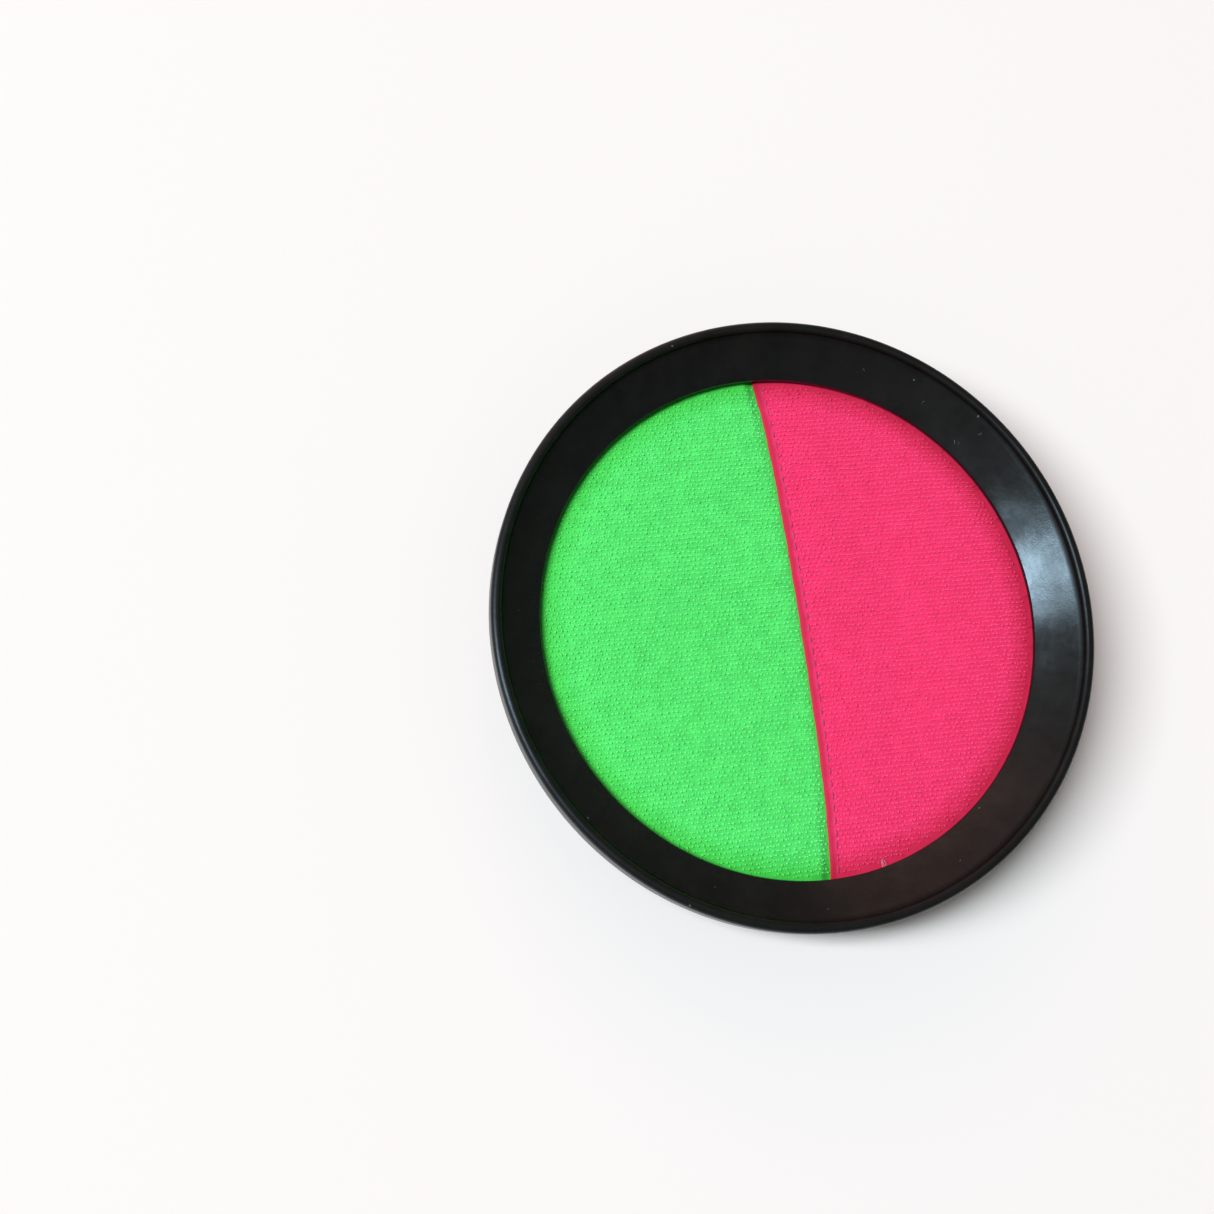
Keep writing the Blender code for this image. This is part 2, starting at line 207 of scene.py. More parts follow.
def grow(kind, inputs, **settings):
    made = next(v for v in inputs.values() if isinstance(v, bpy.types.NodeSocket)).id_data.nodes.new(kind)
    for label, value in settings.items():
        setattr(made, label, value)
    for label, value in inputs.items():
        feed(made.inputs[label], value)
    return made.outputs


def maths(operation, *terms, clamp=False):
    return grow("ShaderNodeMath", dict(enumerate(terms)), operation=operation, use_clamp=clamp)[0]


def vectorMaths(operation, *terms):
    outputs = grow("ShaderNodeVectorMath", dict(enumerate(terms)), operation=operation)
    return outputs["Value" if operation in ("LENGTH", "DISTANCE", "DOT_PRODUCT") else "Vector"]


def blendColour(share, first, second, mode="MIX"):
    return grow("ShaderNodeMix", {0: share, 6: first, 7: second}, data_type="RGBA", blend_type=mode)[2]


def spread(value, low, high, newLow=0.0, newHigh=1.0):
    # low to high becomes newLow to newHigh, and stays at them beyond
    return grow("ShaderNodeMapRange", dict(enumerate((value, low, high, newLow, newHigh))))[0]


def noise(point, scale, detail=2.0):
    return grow("ShaderNodeTexNoise", {"Vector": point, "Scale": scale, "Detail": detail})["Fac"]


def fromAxis(point):
    # Distance from the Z axis
    return vectorMaths("LENGTH", vectorMaths("MULTIPLY", point, (1.0, 1.0, 0.0)))


def effectGroup(name, numbers, *results):
    # A group that takes a Point and the named numbers, and gives the named results
    tree = bpy.data.node_groups.new(name, "ShaderNodeTree")
    tree.interface.new_socket("Point", in_out="INPUT", socket_type="NodeSocketVector")
    for label, value in numbers.items():
        tree.interface.new_socket(label, in_out="INPUT", socket_type="NodeSocketFloat").default_value = value
    for label in results:
        kind = "NodeSocketVector" if label == "Point" else "NodeSocketFloat"
        tree.interface.new_socket(label, in_out="OUTPUT", socket_type=kind)
    given = tree.nodes.new("NodeGroupInput").outputs
    return tree, given["Point"], given, tree.nodes.new("NodeGroupOutput").inputs


def useGroup(group, **inputs):
    return grow("ShaderNodeGroup", inputs, node_tree=group)


def newFinish(name, roughness, specular, **constants):
    # A material, its surface inputs and the Object point
    finish = bpy.data.materials.new(name)
    finish.use_nodes = True
    nodes = finish.node_tree.nodes
    surface = nodes["Principled BSDF"].inputs
    for label, value in {"Roughness": roughness, "Specular IOR Level": specular, **constants}.items():
        feed(surface[label.replace("_", " ")], value)
    return finish, surface, nodes.new("ShaderNodeTexCoord").outputs["Object"]


def attribute(point, name):
    # A value kept at the mesh's points
    made = point.id_data.nodes.new("ShaderNodeAttribute")
    made.attribute_name = name
    return made.outputs["Fac"]


def raiseFrom(surface, height, distance, below=None):
    # A Bump node whose height is in metres of distance, on top of the one below
    bump = grow("ShaderNodeBump", {"Height": height, "Distance": distance, **({"Normal": below} if below else {})})[0]
    feed(surface["Normal"], bump)
    return bump


# Effects shared by several finishes

# Soft blotches: six parts coarse noise to four parts finer noise, centred on 0.5
mottle, point, given, result = effectGroup("softMottle", {"Coarse": 90.0, "Fine": 420.0}, "Amount")
coarse, fine = (noise(point, given[scale]) for scale in ("Coarse", "Fine"))
feed(result["Amount"], maths("MULTIPLY_ADD", fine, 0.4, maths("MULTIPLY", coarse, 0.6)))

# A point becomes (direction round Z, radius and height), so that noise streaks round the ring.
ringPoint, point, given, result = effectGroup("roundTheRing", {"Length": 0.05}, "Point")
split = grow("ShaderNodeSeparateXYZ", {0: point})
radius = fromAxis(point)
reach = maths("DIVIDE", given["Length"], maths("MAXIMUM", radius, 0.001))
turned = {axis: maths("MULTIPLY", split[axis], reach) for axis in "XY"}
feed(result["Point"], grow("ShaderNodeCombineXYZ", {**turned, "Z": maths("ADD", radius, split["Z"])})[0])

# Sparse pale specks: the middles of a few cells, kept where a coarse noise is high
dust, point, given, result = effectGroup("settledDust", {"Amount": 1.0}, "Mask")
cells = grow("ShaderNodeTexVoronoi", {"Vector": point, "Scale": 260.0})["Distance"]
kept = maths("MULTIPLY", spread(cells, 0.10, 0.03), spread(noise(point, 130.0, 1.0), 0.60, 0.66))
feed(result["Mask"], maths("MULTIPLY", kept, given["Amount"], clamp=True))

# Woven ground of the hook cloth: ridges along X, crossed by finer threads, both as sine waves
pitches = {"RowPitch": 0.00136, "ThreadPitch": 0.00041}
clothRows, point, given, result = effectGroup("clothRows", pitches, "Rows", "Threads")
split = grow("ShaderNodeSeparateXYZ", {0: point})
wander = maths("MULTIPLY", maths("SUBTRACT", noise(point, 60.0, 1.0), 0.5), 2.5)
rowTurn = maths("MULTIPLY_ADD", maths("DIVIDE", split["Y"], given["RowPitch"]), 2 * math.pi, wander)
feed(result["Rows"], maths("MULTIPLY_ADD", maths("COSINE", rowTurn), 0.5, 0.5))
acrossX, acrossY = (maths("SINE", maths("MULTIPLY", maths("DIVIDE", split[axis], given["ThreadPitch"]), 2 * math.pi))
                    for axis in "XY")
feed(result["Threads"], maths("MULTIPLY_ADD", maths("MULTIPLY", acrossX, acrossY), 0.5, 0.5))

# Ribbed webbing from a UV map in millimetres: ribs across at one pitch, each split by threads along at another
pitches = {"RibPitch": 1.3, "ThreadPitch": 0.9}
webbingRibs, point, given, result = effectGroup("webbingRibs", pitches, "Height", "Shade")
split = grow("ShaderNodeSeparateXYZ", {0: point})
column = maths("DIVIDE", split["Y"], given["ThreadPitch"])
odd = maths("MODULO", maths("FLOOR", maths("ADD", column, 1000.0)), 2.0)
row = maths("ADD", maths("DIVIDE", split["X"], given["RibPitch"]), maths("MULTIPLY", odd, 0.5))
rib, thread = (maths("ABSOLUTE", maths("SINE", maths("MULTIPLY", turns, math.pi))) for turns in (row, column))
height = maths("POWER", maths("MULTIPLY", rib, thread), 0.6)
feed(result["Height"], height)
# Shade is painted shade: the colour darkens where the weave is low, between ribs and threads.
feed(result["Shade"], spread(height, 0.0, 1.0, 0.45, 1.0))


def mottled(point, coarse, fine):
    return useGroup(mottle, Point=point, Coarse=coarse, Fine=fine)["Amount"]


print("shared effects ready")


# Camera, placed as the photograph was taken

cameraSet = SimpleNamespace(
    place=(-0.16837, -0.09668, 0.52343), aim=(-0.05219, 0.01367, 0.0), rollDegrees=39.89, lens=53.377, sensor=36.0,
    clip=(0.02, 20.0))

cameraData = bpy.data.cameras.new("camera")
cameraData.lens, cameraData.sensor_width = cameraSet.lens, cameraSet.sensor
cameraData.clip_start, cameraData.clip_end = cameraSet.clip
cameraObject = bpy.data.objects.new("camera", cameraData)
look = (Vector(cameraSet.aim) - Vector(cameraSet.place)).to_track_quat("-Z", "Y").to_matrix().to_4x4()
cameraObject.matrix_world = (Matrix.Translation(cameraSet.place) @ look
                             @ Matrix.Rotation(math.radians(cameraSet.rollDegrees), 4, "Z"))
bpy.context.scene.collection.objects.link(cameraObject)
bpy.context.scene.camera = cameraObject


# Light: one big window lamp from the left, a dim room above, and a pale floor

lightSet = SimpleNamespace(
    windowFrom=(-0.604, 0.073, 0.795), windowAway=14.0, windowSize=(2.8, 9.8), windowLevel=28.2,
    windowColour=(0.90, 0.965, 1.0), roomLevel=0.15, roomColour=(1.0, 0.97, 0.94), horizonLevel=0.8,
    backdropLevel=0.97, wallFrom=(-0.12, 0.92, 0.35), wallReach=(0.86, 0.93), wallColour=(1.0, 0.40, 0.27))
floorSet = SimpleNamespace(colour=(0.925, 0.890, 0.872), radius=4, sides=96, level=-0.00004)

windowData = bpy.data.lights.new("windowLamp", "AREA")
windowData.shape = "RECTANGLE"
windowData.size, windowData.size_y = lightSet.windowSize
windowData.energy = lightSet.windowLevel * math.pi * lightSet.windowSize[0] * lightSet.windowSize[1]
windowData.color = lightSet.windowColour
windowLamp = bpy.data.objects.new("windowLamp", windowData)
windowPlace = Vector(lightSet.windowFrom).normalized() * lightSet.windowAway
windowLamp.matrix_world = Matrix.Translation(windowPlace) @ windowPlace.to_track_quat("Z", "Y").to_matrix().to_4x4()
bpy.context.scene.collection.objects.link(windowLamp)

world = bpy.data.worlds.new("room")
bpy.context.scene.world = world
world.use_nodes = True
worldNodes = world.node_tree.nodes
direction = worldNodes.new("ShaderNodeTexCoord").outputs["Generated"]
upward = grow("ShaderNodeSeparateXYZ", {0: direction})["Z"]
roomLight = spread(upward, 0.0, 0.05, lightSet.horizonLevel, lightSet.roomLevel)
# A warm wall stands low on the side towards +Y, and shows in the near side of the dish.
facing = vectorMaths("DOT_PRODUCT", direction, Vector(lightSet.wallFrom).normalized())
wallLight = vectorMaths("MULTIPLY", spread(facing, *lightSet.wallReach), lightSet.wallColour)
bothLights = vectorMaths("MULTIPLY_ADD", roomLight, lightSet.roomColour, wallLight)
seen = worldNodes.new("ShaderNodeLightPath").outputs["Is Camera Ray"]
feed(worldNodes["Background"].inputs["Color"], blendColour(seen, bothLights, [lightSet.backdropLevel] * 3))

bpy.context.scene.view_settings.view_transform = "Standard"

floorFinish, surface, point = newFinish("paleFloor", 0.9, 0.2, Base_Color=floorSet.colour)
feed(surface["Roughness"], spread(mottled(point, 6.0, 40.0), 0.3, 0.7, 0.86, 0.94))
floorMesh = bpy.data.meshes.new("floor")
floorTurn = np.linspace(0, 2 * np.pi, floorSet.sides, endpoint=False)
floorMesh.from_pydata([(floorSet.radius * math.cos(t), floorSet.radius * math.sin(t), floorSet.level)
                       for t in floorTurn], [], [list(range(floorSet.sides))])
floorMesh.materials.append(floorFinish)
floor = bpy.data.objects.new("floor", floorMesh)
bpy.context.scene.collection.objects.link(floor)
floor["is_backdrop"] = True
print("camera, light and floor ready")


# Black moulded plastic, blotchy, with streaks round the ring, fine grain and a little dust

plasticSet = SimpleNamespace(
    dark=(0.0042, 0.0037, 0.0031), light=(0.0078, 0.0068, 0.0058), dustColour=(0.30, 0.31, 0.32),
    tint=(0.62, 0.84, 1.0), rough=(0.15, 0.25), smear=(0.29, 0.43), haze=0.16, hazeRough=0.6, outerShine=0.72,
    lipRough=0.33, dullRough=0.62, rubbed=(0.0755, 0.0235, 0.0185), rubbedReach=0.010, unevenBump=0.00006,
    grainBump=0.00002)

ringPlastic, surface, point = newFinish("ringPlastic", 0.28, 0.5, IOR=1.49, Specular_Tint=plasticSet.tint,
                                        Coat_Weight=plasticSet.haze, Coat_Roughness=plasticSet.hazeRough)
blotch = mottled(point, 85.0, 330.0)
streak = mottled(useGroup(ringPoint, Point=point, Length=0.03)["Point"], 300.0, 1300.0)
uneven = maths("MULTIPLY_ADD", streak, 0.45, maths("MULTIPLY", blotch, 0.55))
specks = useGroup(dust, Point=point, Amount=0.5)["Mask"]
base = blendColour(spread(blotch, 0.35, 0.65), plasticSet.dark, plasticSet.light)
feed(surface["Base Color"], blendColour(specks, base, plasticSet.dustColour))
# The lip is duller than the dish, from being set down and gripped.
radius = fromAxis(point)
rough = maths("MAXIMUM", spread(uneven, 0.36, 0.64, *plasticSet.rough),
              spread(radius, 0.0884, 0.0900, 0.0, plasticSet.lipRough))
# Handling has dulled one patch beside the opening, and dirt dulls the groove inside the lip.
away = vectorMaths("DISTANCE", point, plasticSet.rubbed)
away = maths("MULTIPLY_ADD", maths("SUBTRACT", uneven, 0.5), 0.03, away)
worn = spread(away, plasticSet.rubbedReach * 0.1, plasticSet.rubbedReach, 1.0, 0.0)
groove = attribute(point, "groove")
dull = maths("MAXIMUM", maths("MULTIPLY", worn, 0.5), groove)
rough = maths("MULTIPLY_ADD", dull, maths("SUBTRACT", plasticSet.dullRough, rough), rough)
feed(surface["Roughness"], maths("MULTIPLY_ADD", specks, 0.3, rough))
shine = spread(mottled(point, 140.0, 700.0), 0.38, 0.62, *plasticSet.smear)
shine = maths("MULTIPLY", shine, spread(radius, 0.0795, 0.085, 1.0, plasticSet.outerShine))
feed(surface["Specular IOR Level"], maths("MULTIPLY", shine, spread(dull, 0.0, 1.0, 1.0, 0.25)))
feed(surface["Coat Weight"], spread(groove, 0.0, 1.0, plasticSet.haze, 0.0))
sink = raiseFrom(surface, uneven, plasticSet.unevenBump)
raiseFrom(surface, noise(point, 2600.0), plasticSet.grainBump, below=sink)


# Front rim: a turned ring with a flared dish, a rolled lip and snap windows in its skirt

rimLow, rimHigh = boxOf("front_rim")
rimSet = SimpleNamespace(
    dishWidth=15.7, dishRise=9.6, wall=1.7, beadWidth=3.2, beadHeight=1.7, hemDepth=7.6, hemDraft=0.3,
    noseHeight=1.6, noseWidth=2.8, noseRound=0.5, pocketWidth=7.7, skirtWall=1.8, edgeRound=0.4, rootRound=0.7,
    coneSteps=8, windows=8, windowWidth=9.6, windowLow=2.7, windowHigh=5.5, windowSteps=5, betweenSteps=31,
    noseWave=0.06, waves=((3, 1.0, 1.0), (7, 2.1, 1.6), (13, 0.7, 2.2), (29, 1.9, 4.0)), gapLift=0.30, gapAngle=10.0,
    gapSpread=16.0, sharpDegrees=32)

lipRadius, lipTop = rimHigh[0], rimHigh[2]
openingRadius = lipRadius - rimSet.dishWidth
openingTop = lipTop - rimSet.dishRise
beadInner, coneTop = lipRadius - rimSet.beadWidth, lipTop - rimSet.beadHeight
coneSlope = (coneTop - openingTop) / (beadInner - openingRadius)
noseLow = openingTop - rimSet.noseHeight
skirtInner = openingRadius + rimSet.pocketWidth
skirtOuter = skirtInner + rimSet.skirtWall


def rimOutline():
    # Section of the ring, from the nose up the dish, over the bead, down the hem, and back along the skirt
    drop = rimSet.wall * math.sqrt(1 + coneSlope * coneSlope)
    under = lambda radius: openingTop + (radius - openingRadius) * coneSlope - drop
    hemLow, hemOuter = lipTop - rimSet.hemDepth, lipRadius - rimSet.hemDraft
    hemInner = hemOuter - rimSet.wall
    noseOuter = openingRadius + rimSet.noseWidth
    low, high = rimSet.windowLow, rimSet.windowHigh
    edge, root, bead = rimSet.edgeRound, rimSet.rootRound, rimSet.beadWidth / 2
    steps = rimSet.coneSteps
    width, rise = beadInner - openingRadius, coneTop - openingTop
    cone = [(openingRadius + width * k / steps, openingTop + rise * k / steps, 0, 0) for k in range(1, steps)]
    return roundedOutline([
        (openingRadius, noseLow, edge, 3), (openingRadius, openingTop, rimSet.noseRound, 5), *cone,
        (beadInner, coneTop, 0.25, 3), (beadInner, lipTop, rimSet.beadHeight - 0.5, 7), (lipRadius, lipTop, bead, 8),
        (hemOuter, hemLow, edge, 3), (hemInner, hemLow, edge, 3), (hemInner, under(hemInner), root, 4),
        (skirtOuter, under(skirtOuter), root, 4), (skirtOuter, high, 0, 0), (skirtOuter, low, 0, 0),
        (skirtOuter, rimLow[2], edge, 3), (skirtInner, rimLow[2], edge, 3), (skirtInner, low, 0, 0),
        (skirtInner, high, 0, 0), (skirtInner, under(skirtInner), 0, 0), (noseOuter, under(noseOuter), 0, 0),
        (noseOuter, noseLow, edge, 3)])


def frontRim():
    outline = rimOutline()
    sector = 2 * math.pi / rimSet.windows
    half = math.atan(rimSet.windowWidth / 2 / (skirtInner + rimSet.skirtWall / 2))
    offsets = np.concatenate([np.linspace(-half, half, rimSet.windowSteps + 1)[:-1],
                              np.linspace(half, sector - half, rimSet.betweenSteps + 1)[:-1]])
    angles = (np.arange(rimSet.windows)[:, None] * sector + offsets).ravel()
    points = lathe(outline, angles)
    # The nose wanders up and down a little, and stands off the cloth on one side, most at the opening.
    nearNose = smooth(1 - (outline[:, 0] - openingRadius) / 6) * (outline[:, 1] > noseLow - 0.1)
    wave = sum(np.sin(k * angles + phase) / share for k, phase, share in rimSet.waves)
    turned = (np.degrees(angles) - rimSet.gapAngle + 180) % 360 - 180
    lift = rimSet.noseWave * wave + rimSet.gapLift * np.exp(-(turned / rimSet.gapSpread) ** 2)
    points[:, :, 2] += lift[:, None] * nearNose
    # Faces inside a window go, and a strip joins the two skirt walls round each hole.
    rows, columns = points.shape[:2]
    outerHigh, outerLow, innerHigh, innerLow = (
        np.flatnonzero(np.abs(outline - (radius, height)).max(1) < 0.01)[0]
        for radius in (skirtOuter, skirtInner) for height in (rimSet.windowHigh, rimSet.windowLow))
    first = np.arange(rimSet.windows) * len(offsets)
    steps = (first[:, None] + np.arange(rimSet.windowSteps)).ravel()
    quads = gridFaces(rows, columns, True, True).reshape(rows, columns, 4)
    keep = np.ones((rows, columns), bool)
    keep[np.ix_(steps, [outerHigh, innerLow])] = False
    corner = lambda row, column: row % rows * columns + column
    reveals = [np.stack([corner(steps, a), corner(steps + 1, a), corner(steps + 1, b), corner(steps, b)], -1)
               for a, b in ((outerHigh, innerHigh), (outerLow, innerLow))]
    sides = [np.stack([corner(at, column) for column in (outerHigh, outerLow, innerLow, innerHigh)], -1)
             for at in (first, first + rimSet.windowSteps)]
    inGroove = np.exp(-(outline[:, 0] - beadInner) ** 2 / 0.35 - (outline[:, 1] - coneTop) ** 2 / 3)
    return (points, [np.concatenate([quads[keep], *reveals, *sides])]), np.tile(inGroove, rows)


rimPart, rimGroove = frontRim()
addMesh("rimShell", [rimPart], ringPlastic, "front_rim", rimSet.sharpDegrees,
        values={"groove": rimGroove})
print("front rim ready")


# Clamp ring behind it: an L-shaped turned ring with a curb, ribs and wedge lugs

clampLow, clampHigh = boxOf("clamp_ring")
clampSet = SimpleNamespace(
    setback=0.4, fit=0.3, wall=2.0, flange=1.8, curbHeight=3.6, footRound=0.2, ribs=24, ribWidth=1.2, ribSetback=0.7,
    lugs=8, lugWidth=9.0, lugHeight=2.2, lugTip=0.6, lugReach=1.5, lugLift=3.0, rootOverlap=0.3, turnSteps=288)

clampOpening = openingRadius + clampSet.setback
clampRadius = skirtInner - clampSet.fit


def prismsRound(outline, width, count, bevel):
    # The outline (radius, height) as a prism across each of count radial lines, with chamfered sides
    middle = outline.mean(0)
    inset = middle + (outline - middle) * (1 - 2 * bevel / np.ptp(outline, axis=0))
    across = np.array([-width / 2, bevel - width / 2, width / 2 - bevel, width / 2])
    layers = [inset, outline, outline, inset]
    out, side, up = np.stack([np.stack([o[:, 0], np.full(len(o), a), o[:, 1]]) for o, a in zip(layers, across)], 1)
    turn = (np.arange(count) * 2 * np.pi / count)[:, None, None]
    x = out * np.cos(turn) - side * np.sin(turn)
    y = out * np.sin(turn) + side * np.cos(turn)
    size = len(outline)
    starts = np.arange(count)[:, None] * 4 * size
    walls = (starts[:, :, None] + gridFaces(4, size, ringColumns=True)).reshape(-1, 4)
    ends = starts + np.arange(size)
    return place(x, y, up).reshape(-1, 3), [walls, ends, ends + 3 * size]


def clampRing():
    wallInner, curbOuter = clampRadius - clampSet.wall, clampOpening + clampSet.flange
    top, foot = clampHigh[2], clampLow[2]
    flangeLow, curbLow = top - clampSet.flange, top - clampSet.curbHeight
    edge, footRound = rimSet.edgeRound, clampSet.footRound
    outline = roundedOutline([
        (clampOpening, top, edge, 3), (clampRadius, top, edge, 3), (clampRadius, foot, footRound, 2),
        (wallInner, foot, footRound, 2), (wallInner, flangeLow, 0.6, 4), (curbOuter, flangeLow, 0.6, 4),
        (curbOuter, curbLow, edge, 3), (clampOpening, curbLow, edge, 3)])
    turn = np.linspace(0, 2 * np.pi, clampSet.turnSteps, endpoint=False)
    ring = (lathe(outline, turn), [gridFaces(len(turn), len(outline), True, True)])
    bite = clampSet.rootOverlap
    ribLow, ribTop = curbLow + clampSet.ribSetback, flangeLow + bite
    ribInner, ribOuter = curbOuter - bite, wallInner + bite
    rib = np.array([(ribInner, ribLow), (ribOuter, ribLow), (ribOuter, ribTop), (ribInner, ribTop)])
    lugLow, lugOuter = clampSet.lugLift, clampRadius + clampSet.lugReach
    lugTop = lugLow + clampSet.lugHeight
    lug = np.array([(clampRadius - 3 * bite, lugLow), (lugOuter, lugLow), (lugOuter, lugLow + clampSet.lugTip),
                    (clampRadius - bite, lugTop), (clampRadius - 3 * bite, lugTop)])
    return [ring, prismsRound(rib, clampSet.ribWidth, clampSet.ribs, 0.12),
            prismsRound(lug, clampSet.lugWidth, clampSet.lugs, 0.15)]


addMesh("clampShell", clampRing(), ringPlastic, "clamp_ring", rimSet.sharpDegrees)
print("clamp ring ready")


# Shape of the cloth face, shared by the two cloths, their hooks, the seam and the foam

faceSet = SimpleNamespace(
    cloth=0.5, fit=0.15, crown=2.2, power=6, foot=1.5, seamShift=-0.10, seamBow=1.80, edgeDrop=1.0, edgePower=14,
    seamRise=0.95, riseFade=26.0, foldGap=0.1, hemFlap=7.0, lapMargin=0.6, dipWidth=3.2, dipEnd=0.1, wallRun=0.8,
    ripple=0.05, rows=169, greenColumns=84, pinkColumns=86, foamColumns=60,
    puckers=((-21.7, 69.0, 3.2, 0.25), (-66.0, -30.0, 5.0, -0.20), (30.0, 68.0, 5.0, -0.15),
             (58.0, -44.0, 6.0, -0.12), (18.6, -73.4, 1.6, -0.30)))

clothRadius = -boxOf("green_face")[0][0]
clothY = np.linspace(-0.995, 0.995, faceSet.rows)[:, None] * clothRadius
clothEdge = np.sqrt(clothRadius ** 2 - clothY ** 2)
faceLevel = noseLow - faceSet.fit - faceSet.edgeDrop
foldRadius = faceSet.cloth + faceSet.foldGap / 2
lapDrop = 2 * foldRadius + faceSet.fit
lapWidth = faceSet.hemFlap + faceSet.lapMargin
channelEnd = lapWidth + faceSet.fit
shoulder = channelEnd + faceSet.wallRun


def seamLine(y):
    # The seam bows towards the pink half: shift + bow * (1 - (y / opening)^2)
    return faceSet.seamShift + faceSet.seamBow * (1 - (y / openingRadius) ** 2)


def dip(pastFold):
    # 0 well before the fold, 1 from just before it on
    return smooth((pastFold + faceSet.dipEnd + faceSet.dipWidth) / faceSet.dipWidth)


def faceLift(x, y):
    # Height of the domed face above its clamped edge: (crown + ridge beside the seam + ripples)
    # * (1 - share^power)^foot, and the pad's rounded edge, edgeDrop * (1 - share^edgePower)
    share = np.minimum(np.hypot(x, y) / openingRadius, 1)
    dome = (1 - share ** faceSet.power) ** faceSet.foot
    pastFold = x - seamLine(y)
    ridge = faceSet.seamRise * (dip(pastFold) - smooth((pastFold - shoulder) / faceSet.riseFade))
    ripple = faceSet.ripple * (np.sin(x / 7.1 + 1.3 + 0.5 * np.sin(y / 9)) * np.sin(y / 8.3 + 0.4)
                                  + 0.6 * np.sin((x - y) / 5.2))
    for atX, atY, reach, height in faceSet.puckers:
        ripple = ripple + height * np.exp(-((x - atX) ** 2 + (y - atY) ** 2) / reach ** 2) / np.maximum(dome, 0.3)
    return (faceSet.crown + ridge + ripple) * dome + faceSet.edgeDrop * (1 - share ** faceSet.edgePower)


def pinkTop(x, y):
    return faceLevel + faceLift(x, y)


def greenTop(x, y):
    # Lower than the pink half where it passes under its fold
    return pinkTop(x, y) - lapDrop * dip(x - seamLine(y))


def discColumns(nearSeam, coarse):
    # x for each y of clothY: evenly from the left edge to the first offset from the seam, then the offsets
    first = seamLine(clothY) + nearSeam[0]
    run = np.linspace(0, 1, coarse, endpoint=False)
    return np.concatenate([(first + clothEdge) * run - clothEdge, seamLine(clothY) + nearSeam], 1)


# Hook cloth finishes: a woven ground, and the stiff threads that stand on it

clothSet = SimpleNamespace(edgeShadeWidth=8.0, weaveBump=0.00005, rowBump=0.000015)
# Each edge colour is painted shade, multiplied into the cloth and its hooks towards the ring.
clothTones = {
    "green": {"ground": ((0.056, 0.55, 0.095), (0.115, 0.90, 0.19)), "fold": (0.10, 0.60, 0.075),
              "foldReach": (0.1, 1.1), "edge": (0.60, 0.80, 0.42), "thread": ((0.17, 0.98, 0.27), (0.26, 1.0, 0.38))},
    "pink": {"ground": ((0.78, 0.027, 0.120), (1.0, 0.052, 0.20)), "fold": (0.64, 0.026, 0.082),
             "foldReach": (0.9, 2.2), "edge": (0.76, 0.50, 0.46), "thread": ((1.0, 0.072, 0.23), (1.0, 0.115, 0.31))}}


def paintedEdgeShade(point, colour, tint):
    # Towards the ring the cloth turns down, and painted shade dims it: colour * tint, over the last stretch inside
    # the opening
    share = spread(fromAxis(point), (openingRadius - clothSet.edgeShadeWidth) * mm, openingRadius * mm)
    return blendColour(share, colour, tint, "MULTIPLY")


def hookCloth(colour):
    tones = clothTones[colour]
    finish, surface, point = newFinish(colour + "HookCloth", 0.85, 0.15)
    woven = useGroup(clothRows, Point=point)
    patchy = mottled(point, 240.0, 1100.0)
    # Brighter on the woven ridges and threads and darker between them, which is painted shade in the weave, with a
    # patchy tone on top.
    lit = maths("MULTIPLY_ADD", woven["Rows"], 0.09, maths("MULTIPLY", woven["Threads"], 0.30))
    lit = maths("ADD", lit, spread(patchy, 0.3, 0.7, 0.05, 0.60), clamp=True)
    past = maths("ABSOLUTE", attribute(point, "pastFold"))
    past = maths("MULTIPLY_ADD", maths("SUBTRACT", patchy, 0.5), 1.6, past)
    # A darker band along the fold with patchy edges: on the green it is painted shade in the dip beside the fold, and
    # on the pink a darker band over the fold.
    foldBandAndShade = spread(past, *tones["foldReach"], 1.0, 0.0)
    shade = blendColour(foldBandAndShade, blendColour(lit, *tones["ground"]), tones["fold"])
    feed(surface["Base Color"], paintedEdgeShade(point, shade, tones["edge"]))
    weave = raiseFrom(surface, woven["Threads"], clothSet.weaveBump)
    raiseFrom(surface, woven["Rows"], clothSet.rowBump, below=weave)
    return finish


def hookThread(colour):
    tones = clothTones[colour]
    finish, surface, point = newFinish(colour + "HookThread", 0.6, 0.18)
    tint = attribute(point, "tint")
    patchy = spread(mottled(point, 60.0, 240.0), 0.35, 0.65)
    share = maths("MULTIPLY_ADD", patchy, 0.15, maths("MULTIPLY", tint, 0.8), clamp=True)
    feed(surface["Base Color"], paintedEdgeShade(point, blendColour(share, *tones["thread"]), tones["edge"]))
    feed(surface["Roughness"], spread(tint, 0.0, 1.0, 0.52, 0.72))
    return finish


def greenSheet():
    nearSeam = np.concatenate([np.linspace(-3.2, 0.0, 17), np.linspace(0.8, lapWidth, 8)])
    x = discColumns(nearSeam, faceSet.greenColumns)
    top = place(x, clothY, greenTop(x, clothY))
    return slab(top, top - [0, 0, faceSet.cloth]), np.stack([x - seamLine(clothY)] * 2)


